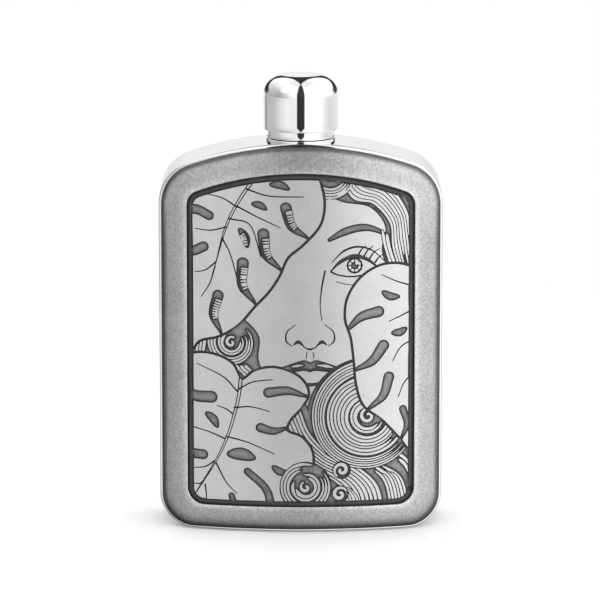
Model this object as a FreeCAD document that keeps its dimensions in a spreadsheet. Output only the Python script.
"""Curved hip flask with a screw cap.

Millimetres, +Z up, X across, the convex front faces -Y. The origin lies on the
plane that the flask stands on, straight below the axis of its neck.

The vessel is a polished band closed by two bowed plates. A satin surround and an
etched plaque dress the front. A threaded neck is brazed through the top of the
band, and the cap is a spun dome pressed over a threaded core, with a washer that
seals on the lip of the neck.
"""

import FreeCAD, Part
import math
import os

import Sketcher

Vector = FreeCAD.Vector

# Driving dimensions.
TABLE = {
    # the vessel, seen from the front
    "body_width": 91.6,
    "body_height": 127.0,
    "arch_radius": 99.1,
    "top_corner": 15.3,
    "base_corner": 11.1,
    # the vessel, seen from above: front and back are parallel bows
    "body_depth": 24.0,
    "bow_radius": 116.0,
    "wall": 1.0,
    "edge_round": 0.5,
    # the satin surround and its window
    "rim": 0.8,
    "frame_proud": 2.2,
    "frame_round": 1.0,
    "window_width": 73.2,
    "window_base": 8.5,
    "window_inset": 8.6,
    "window_top_corner": 5.0,
    "window_base_corner": 5.5,
    # the plaque in the window
    "plaque_gap": 0.1,
    "plaque_base": 1.2,
    "plaque_relief": 0.5,
    "plaque_border": 1.9,
    # the neck and its collar
    "bore_radius": 6.5,
    "neck_radius": 8.2,
    "neck_height": 8.2,
    "neck_depth": 3.0,
    "flange_radius": 9.6,
    "flange_height": 1.4,
    "lip_chamfer": 0.3,
    "collar_radius": 11.1,
    "collar_height": 0.5,
    "collar_round": 0.3,
    # the thread
    "lead": 3.0,
    "thread_depth": 0.8,
    "thread_root": 1.5,
    "thread_crest": 0.6,
    "thread_start": 2.4,
    "thread_rise": 4.0,
    "thread_play": 0.25,
    # the cap
    "cap_gap": 0.25,
    "ring_radius": 10.85,
    "ring_height": 2.65,
    "ring_round": 0.3,
    "dome_radius": 12.0,
    "dome_height": 17.4,
    "dome_corner": 6.3,
    "dome_wall": 0.8,
    "dome_lip": 0.3,
    "core_top": 2.0,
    "washer_thickness": 1.4,
    "washer_radius": 8.9,
    "washer_hole": 4.5,
    "washer_play": 0.3,
}

# Nothing reaches this far from the origin; cutters and extrusions do.
REACH = 150.0


class Size:
    """A length, as an expression over the sheet and as its value."""

    def __init__(self, text, value):
        self.text = text
        self.value = value

    def joined(self, sign, other):
        if not isinstance(other, Size):
            other = Size(repr(other), other)
        value = {"+": self.value + other.value, "-": self.value - other.value,
                 "*": self.value * other.value}[sign]
        return Size(f"({self.text} {sign} {other.text})", value)

    def __add__(self, other):
        return self.joined("+", other)

    def __sub__(self, other):
        return self.joined("-", other)

    def __mul__(self, other):
        return self.joined("*", other)


doc = FreeCAD.newDocument("hip_flask")
sheet = doc.addObject("Spreadsheet::Sheet", "Sheet")
sizes = {}
for row, (name, value) in enumerate(TABLE.items(), start=1):
    sheet.set(f"A{row}", name)
    sheet.set(f"B{row}", str(value))
    sheet.setAlias(f"B{row}", name)
    sizes[name] = Size(f"Sheet.{name}", value)
doc.recompute()

ZERO = Size("0", 0.0)


def size(name):
    return sizes[name]


# Heights and centres that several pieces share.
half_width = size("body_width") * 0.5
half_depth = size("body_depth") * 0.5
arch_centre = size("body_height") - size("arch_radius")
front_axis = size("bow_radius") - half_depth
back_axis = size("bow_radius") + half_depth
collar_top = size("body_height") + size("collar_height")
neck_top = size("body_height") + size("neck_height")
neck_base = size("body_height") - size("neck_depth")
cap_base = collar_top + size("cap_gap")
ring_top = cap_base + size("ring_height")
dome_top = ring_top + size("dome_height")
washer_top = neck_top + size("washer_thickness")


# --- Helpers -------------------------------------------------------------------

def bind(item, prop, length):
    """Tie a property to the sheet."""
    item.setExpression(prop, length.text)


def constrain(sketch, kind, *args):
    """Add a driven-by-sheet distance or radius; the last argument is a Size."""
    length = args[-1]
    index = sketch.addConstraint(Sketcher.Constraint(kind, *args[:-1], length.value))
    label = f"{kind.lower()}_{index}"
    sketch.renameConstraint(index, label)
    sketch.setExpression(f"Constraints.{label}", length.text)


def add_outline(sketch, half, base, arch, top_corner, base_corner):
    """Arch-topped outline with round corners, centred on the vertical axis."""
    low = base + base_corner
    drop = math.sqrt((arch.value - top_corner.value) ** 2 - (half.value - top_corner.value) ** 2)
    shoulder = arch_centre.value + drop
    turn = math.atan2(drop, half.value - top_corner.value)
    right = half.value

    def arc(x, y, radius, start, end):
        circle = Part.Circle(Vector(x, y, 0), Vector(0, 0, 1), radius)
        return Part.ArcOfCircle(circle, start, end)

    def line(x0, y0, x1, y1):
        return Part.LineSegment(Vector(x0, y0, 0), Vector(x1, y1, 0))

    in_low = right - base_corner.value
    in_top = right - top_corner.value
    quarter = math.pi / 2
    first = sketch.addGeometry([
        line(-in_low, base.value, in_low, base.value),
        arc(in_low, low.value, base_corner.value, -quarter, 0),
        line(right, low.value, right, shoulder),
        arc(in_top, shoulder, top_corner.value, 0, turn),
        arc(0, arch_centre.value, arch.value, turn, math.pi - turn),
        arc(-in_top, shoulder, top_corner.value, math.pi - turn, math.pi),
        line(-right, shoulder, -right, low.value),
        arc(-in_low, low.value, base_corner.value, math.pi, 3 * quarter),
    ])[0]
    floor, right_foot, side, right_head, crown, left_head, other_side, left_foot = range(first, first + 8)
    for start, end in zip(range(first, first + 8), list(range(first + 1, first + 8)) + [first]):
        sketch.addConstraint(Sketcher.Constraint("Tangent", start, 2, end, 1))
    sketch.addConstraint([
        Sketcher.Constraint("Horizontal", floor),
        Sketcher.Constraint("Vertical", side),
        Sketcher.Constraint("Vertical", other_side),
        Sketcher.Constraint("PointOnObject", crown, 3, -2),
        Sketcher.Constraint("Equal", right_head, left_head),
        Sketcher.Constraint("Equal", right_foot, left_foot),
    ])
    constrain(sketch, "DistanceX", -1, 1, side, 1, half)
    constrain(sketch, "DistanceX", other_side, 1, -1, 1, half)
    constrain(sketch, "DistanceY", -1, 1, crown, 3, arch_centre)
    constrain(sketch, "DistanceY", floor, 1, crown, 3, arch_centre - base)
    constrain(sketch, "Radius", crown, arch)
    constrain(sketch, "Radius", right_head, top_corner)
    constrain(sketch, "Radius", right_foot, base_corner)


def add_profile(sketch, corners):
    """Closed straight-sided profile through (across, up) corners."""
    count = len(corners)
    points = [Vector(across.value, up.value, 0) for across, up in corners]
    sides = [Part.LineSegment(points[i], points[(i + 1) % count]) for i in range(count)]
    first = sketch.addGeometry(sides)[0]
    for i in range(count):
        following = first + (i + 1) % count
        sketch.addConstraint(Sketcher.Constraint("Coincident", first + i, 2, following, 1))
    for i, (across, up) in enumerate(corners):
        if across is ZERO:
            sketch.addConstraint(Sketcher.Constraint("PointOnObject", first + i, 1, -2))
        else:
            constrain(sketch, "DistanceX", -1, 1, first + i, 1, across)
        constrain(sketch, "DistanceY", -1, 1, first + i, 1, up)


def prism(name, *outline):
    """Prism along Y, through the whole flask, whose section is an arch-topped outline."""
    sketch = doc.addObject("Sketcher::SketchObject", f"{name}_sketch")
    sketch.Placement = FreeCAD.Placement(Vector(0, 0, 0), FreeCAD.Rotation(Vector(1, 0, 0), 90))
    add_outline(sketch, *outline)
    solid = doc.addObject("Part::Extrusion", name)
    solid.Base = sketch
    solid.DirMode = "Normal"
    solid.LengthFwd = REACH
    solid.Symmetric = True
    solid.Solid = True
    return solid


def body_prism(name, inset):
    """Prism on the body's outline, set in by a distance."""
    return prism(name, half_width - inset, inset, size("arch_radius") - inset,
                 size("top_corner") - inset, size("base_corner") - inset)


def window_prism(name, inset):
    """Prism on the window's outline, set in by a distance."""
    arch = size("arch_radius") - size("rim") - size("window_inset") - inset
    return prism(name, size("window_width") * 0.5 - inset, size("window_base") + inset, arch,
                 size("window_top_corner") - inset, size("window_base_corner") - inset)


def drum(name, radius, axis):
    """Upright cylinder whose wall is one of the bowed surfaces."""
    cylinder = doc.addObject("Part::Cylinder", name)
    cylinder.Height = 2 * REACH
    cylinder.Placement = FreeCAD.Placement(Vector(0, axis.value, -REACH), FreeCAD.Rotation())
    bind(cylinder, "Radius", radius)
    bind(cylinder, "Placement.Base.y", axis)
    return cylinder


def boolean(kind, name, base, tool):
    result = doc.addObject(f"Part::{kind}", name)
    result.Base = base
    result.Tool = tool
    return result


def bowed_plate(name, outline, inner, outer, axis):
    """Sheet between two bowed surfaces, trimmed to an outline."""
    shell = boolean("Cut", f"{name}_bow", drum(f"{name}_outer", outer, axis),
                    drum(f"{name}_inner", inner, axis))
    return boolean("Common", f"{name}_sheet", shell, outline)


def rounded(name, base, radius, choose):
    """Round the edges of base that choose picks."""
    doc.recompute()
    fillet = doc.addObject("Part::Fillet", name)
    fillet.Base = base
    picked = [i for i, edge in enumerate(base.Shape.Edges, start=1) if choose(edge)]
    fillet.Edges = [(i, radius.value, radius.value) for i in picked]
    return fillet


def distance_from(point, axis):
    """Distance of a point from an upright axis at x = 0."""
    return math.hypot(point.x, point.y - axis.value)


def lies_on_bow(edge, radius, axis):
    """True for an edge whose every sampled point is on a bowed surface."""
    first, last = edge.ParameterRange
    steps = [first + (last - first) * part / 4 for part in range(5)]
    return all(abs(distance_from(edge.valueAt(step), axis) - radius.value) < 1e-3 for step in steps)


def body_sketch(body, name):
    """Sketch on the body's upright plane through the neck's axis."""
    sketch = body.newObject("Sketcher::SketchObject", name)
    plane = next(item for item in body.Origin.OriginFeatures if item.Role == "XZ_Plane")
    sketch.AttachmentSupport = [(plane, "")]
    sketch.MapMode = "FlatFace"
    return sketch


def turned(name, corners):
    """Body turned about the neck's axis from a profile of (radius, height) corners."""
    body = doc.addObject("PartDesign::Body", name)
    sketch = body_sketch(body, f"{name}_profile")
    add_profile(sketch, corners)
    turn = body.newObject("PartDesign::Revolution", f"{name}_turn")
    turn.Profile = sketch
    turn.ReferenceAxis = (sketch, ["V_Axis"])
    turn.Angle = 360
    doc.recompute()
    return body


def ring_edge(edge, radius, height):
    """True for a full circle about the neck's axis at this radius and height."""
    curve = edge.Curve
    if not isinstance(curve, Part.Circle):
        return False
    return abs(curve.Radius - radius.value) < 1e-4 and abs(curve.Center.z - height.value) < 1e-4


def dress(body, kind, name, prop, amount, rings):
    """Fillet or chamfer the named circular edges of a turned body."""
    base = body.Tip
    names = []
    for radius, height in rings:
        names += [f"Edge{i}" for i, edge in enumerate(base.Shape.Edges, start=1)
                  if ring_edge(edge, radius, height)]
    feature = body.newObject(f"PartDesign::{kind}", name)
    feature.Base = (base, names)
    bind(feature, prop, amount)
    doc.recompute()
    return feature


def thread(body, kind, name, root, crest, start, rise, extra):
    """Helical ridge or groove; extra widens and deepens it all round."""
    half_root = size("thread_root") * 0.5 + extra
    half_crest = size("thread_crest") * 0.5 + extra
    before = body.Shape.Volume
    sketch = body_sketch(body, f"{name}_profile")
    add_profile(sketch, [(root, start - half_root), (crest, start - half_crest),
                         (crest, start + half_crest), (root, start + half_root)])
    helix = body.newObject(f"PartDesign::{kind}", name)
    helix.Profile = sketch
    helix.ReferenceAxis = (sketch, ["V_Axis"])
    helix.Mode = "pitch-height-angle"
    bind(helix, "Pitch", size("lead"))
    bind(helix, "Height", rise)
    helix.LeftHanded = False
    helix.Reversed = False
    doc.recompute()
    return before


# --- The vessel ----------------------------------------------------------------

def make_side_band():
    """Polished strip round the sides, shoulders and base, open front and back."""
    ring = boolean("Cut", "band_ring", body_prism("band_outside", ZERO),
                   body_prism("band_inside", size("wall")))
    front = boolean("Common", "band_front", ring, drum("band_front_bow", size("bow_radius"), front_axis))
    back = boolean("Cut", "band_back", front, drum("band_back_bow", size("bow_radius"), back_axis))
    hole = doc.addObject("Part::Cylinder", "band_hole")
    hole.Height = REACH
    hole.Placement = FreeCAD.Placement(Vector(0, 0, REACH / 2), FreeCAD.Rotation())
    bind(hole, "Radius", size("neck_radius"))
    pierced = boolean("Cut", "band_pierced", back, hole)

    def outer_edge(edge):
        on_front = lies_on_bow(edge, size("bow_radius"), front_axis)
        on_back = lies_on_bow(edge, size("bow_radius"), back_axis)
        middle = edge.valueAt(sum(edge.ParameterRange) / 2)
        return (on_front or on_back) and outside_inner_wall(middle)

    return rounded("side_band", pierced, size("edge_round"), outer_edge)


def outside_inner_wall(point):
    """True beyond a line half a wall inside the body's outline."""
    margin = size("wall").value / 2
    half = half_width.value - margin
    corner = size("top_corner").value - margin
    arch = size("arch_radius").value - margin
    reach_x = half - corner
    reach_z = math.sqrt((arch - corner) ** 2 - reach_x ** 2)
    x = abs(point.x)
    up = point.z - arch_centre.value
    if up > 0 and x * reach_z < up * reach_x:
        return math.hypot(x, up) > arch
    if up > reach_z:
        return math.hypot(x - reach_x, up - reach_z) > corner
    foot = size("base_corner").value - margin
    low_x = half - foot
    low_z = foot + margin
    if point.z < low_z and x > low_x:
        return math.hypot(x - low_x, point.z - low_z) > foot
    return x > half or point.z < margin


def make_front_plate():
    """Bowed sheet let into the front of the band."""
    return bowed_plate("front_plate", body_prism("front_plate_outline", size("wall")),
                       size("bow_radius") - size("wall"), size("bow_radius"), front_axis)


def make_back_plate():
    """Bowed sheet let into the back of the band."""
    return bowed_plate("back_plate", body_prism("back_plate_outline", size("wall")),
                       size("bow_radius"), size("bow_radius") + size("wall"), back_axis)


# --- The front -----------------------------------------------------------------

def make_front_frame():
    """Satin surround on the front, with an arched window."""
    face = size("bow_radius") + size("frame_proud")
    full = bowed_plate("front_frame", body_prism("frame_outline", size("rim")),
                       size("bow_radius"), face, front_axis)
    opened = boolean("Cut", "frame_opened", full, window_prism("frame_window", ZERO))

    def on_face(edge):
        return lies_on_bow(edge, face, front_axis)

    def outer(edge):
        middle = edge.valueAt(sum(edge.ParameterRange) / 2)
        beyond = abs(middle.x) > size("window_width").value / 2 + size("frame_round").value
        low = middle.z < size("window_base").value / 2
        rise = math.hypot(middle.x, middle.z - arch_centre.value)
        high = rise > size("arch_radius").value - size("rim").value - 1
        return on_face(edge) and (beyond or low or high)

    return rounded("front_frame_rounded", opened, size("frame_round"), outer)


def make_relief_plaque():
    """Etched panel in the window: a base sheet with a raised field."""
    base_face = size("bow_radius") + size("plaque_base")
    base = bowed_plate("plaque_base_plate", window_prism("plaque_outline", size("plaque_gap")),
                       size("bow_radius"), base_face, front_axis)
    field = bowed_plate("plaque_field", window_prism("field_outline", size("plaque_border")),
                        size("bow_radius") + size("plaque_base") * 0.5,
                        base_face + size("plaque_relief"), front_axis)
    return boolean("Fuse", "relief_plaque", base, field)


# --- The neck ------------------------------------------------------------------

thread_crest_radius = size("neck_radius") + size("thread_depth")
thread_from = size("body_height") + size("thread_start")


def make_neck_tube():
    """Threaded tube through the top of the band, flanged inside."""
    flange_top = neck_base + size("flange_height")
    body = turned("neck_tube", [
        (size("bore_radius"), neck_base), (size("flange_radius"), neck_base),
        (size("flange_radius"), flange_top), (size("neck_radius"), flange_top),
        (size("neck_radius"), neck_top), (size("bore_radius"), neck_top)])
    dress(body, "Chamfer", "neck_lip", "Size", size("lip_chamfer"),
          [(size("neck_radius"), neck_top), (size("bore_radius"), neck_top)])
    plain = thread(body, "AdditiveHelix", "neck_thread", size("neck_radius") - 0.1,
                   thread_crest_radius, thread_from, size("thread_rise"), ZERO)
    assert body.Shape.Volume > plain, "the neck's thread adds nothing"
    return body


def make_neck_collar():
    """Thin flange that sits on the arch of the band round the neck."""
    low = size("body_height") - size("wall")
    body = turned("neck_collar", [
        (size("neck_radius"), low), (size("collar_radius"), low),
        (size("collar_radius"), collar_top), (size("neck_radius"), collar_top)])
    dress(body, "Fillet", "collar_edge", "Radius", size("collar_round"),
          [(size("collar_radius"), collar_top)])
    sketch = body_sketch(body, "saddle_profile")
    circle = Part.Circle(Vector(0, arch_centre.value, 0), Vector(0, 0, 1), TABLE["arch_radius"])
    arch = sketch.addGeometry(circle)
    sketch.addConstraint(Sketcher.Constraint("PointOnObject", arch, 3, -2))
    constrain(sketch, "DistanceY", -1, 1, arch, 3, arch_centre)
    constrain(sketch, "Radius", arch, size("arch_radius"))
    before = body.Shape.Volume
    saddle = body.newObject("PartDesign::Pocket", "collar_saddle")
    saddle.Profile = sketch
    saddle.Midplane = True
    saddle.Length = REACH
    doc.recompute()
    assert body.Shape.Volume < before, "the collar's saddle cuts nothing"
    return body


# --- The cap -------------------------------------------------------------------

dome_inner = size("dome_radius") - size("dome_wall")


def make_cap_dome():
    """Spun dome, flat on top with a large round corner."""
    ceiling = dome_top - size("dome_wall")
    body = turned("cap_dome", [
        (dome_inner, ring_top), (size("dome_radius"), ring_top),
        (size("dome_radius"), dome_top), (ZERO, dome_top),
        (ZERO, ceiling), (dome_inner, ceiling)])
    dress(body, "Fillet", "dome_corner", "Radius", size("dome_corner"),
          [(size("dome_radius"), dome_top)])
    dress(body, "Fillet", "dome_hollow", "Radius", size("dome_corner") - size("dome_wall"),
          [(dome_inner, ceiling)])
    dress(body, "Fillet", "dome_lip", "Radius", size("dome_lip"),
          [(size("dome_radius"), ring_top)])
    return body


def make_cap_insert():
    """Core of the cap: grip ring below the dome, thread inside, seat for the washer."""
    seat_radius = size("washer_radius") + size("washer_play")
    seat_floor = neck_top - size("washer_play")
    minor = size("neck_radius") + size("thread_play")
    top = washer_top + size("core_top")
    body = turned("cap_insert", [
        (minor, cap_base), (size("ring_radius"), cap_base), (size("ring_radius"), ring_top),
        (dome_inner, ring_top), (dome_inner, top), (ZERO, top), (ZERO, washer_top),
        (seat_radius, washer_top), (seat_radius, seat_floor), (minor, seat_floor)])
    dress(body, "Fillet", "ring_edge", "Radius", size("ring_round"), [(size("ring_radius"), cap_base)])
    start = thread_from - size("lead")
    solid = thread(body, "SubtractiveHelix", "cap_thread", minor - 0.3,
                   thread_crest_radius + size("thread_play"), start,
                   size("thread_rise") + size("lead") * 1.3, size("thread_play") * 0.8)
    assert body.Shape.Volume < solid, "the cap's thread cuts nothing"
    return body


def make_cap_gasket():
    """Flat washer held in the cap, resting on the lip of the neck."""
    return turned("cap_gasket", [
        (size("washer_hole"), neck_top), (size("washer_radius"), neck_top),
        (size("washer_radius"), washer_top), (size("washer_hole"), washer_top)])


# --- Build, check and write ----------------------------------------------------

PIECES = {
    "side_band": make_side_band,
    "front_plate": make_front_plate,
    "back_plate": make_back_plate,
    "front_frame": make_front_frame,
    "relief_plaque": make_relief_plaque,
    "neck_tube": make_neck_tube,
    "neck_collar": make_neck_collar,
    "cap_dome": make_cap_dome,
    "cap_insert": make_cap_insert,
    "cap_gasket": make_cap_gasket,
}

finished = {}
for label, make in PIECES.items():
    finished[label] = make()
    finished[label].Label = label
doc.recompute()

for item in doc.Objects:
    if {"Invalid", "Error"} & set(item.State):
        raise RuntimeError(f"{item.Name} did not build: {item.State}")
for label, item in finished.items():
    if item.Shape.isNull() or not item.Shape.isValid() or len(item.Shape.Solids) != 1:
        raise RuntimeError(f"{label} is not one valid solid")

os.makedirs("parts", exist_ok=True)
for label, item in finished.items():
    item.Shape.exportStep(f"parts/{label}.step")
    box = item.Shape.optimalBoundingBox()
    spans = [(box.XMin, box.XMax), (box.YMin, box.YMax), (box.ZMin, box.ZMax)]
    corners = [(round(low, 2), round(high, 2)) for low, high in spans]
    print(label, corners, round(item.Shape.Volume, 1))
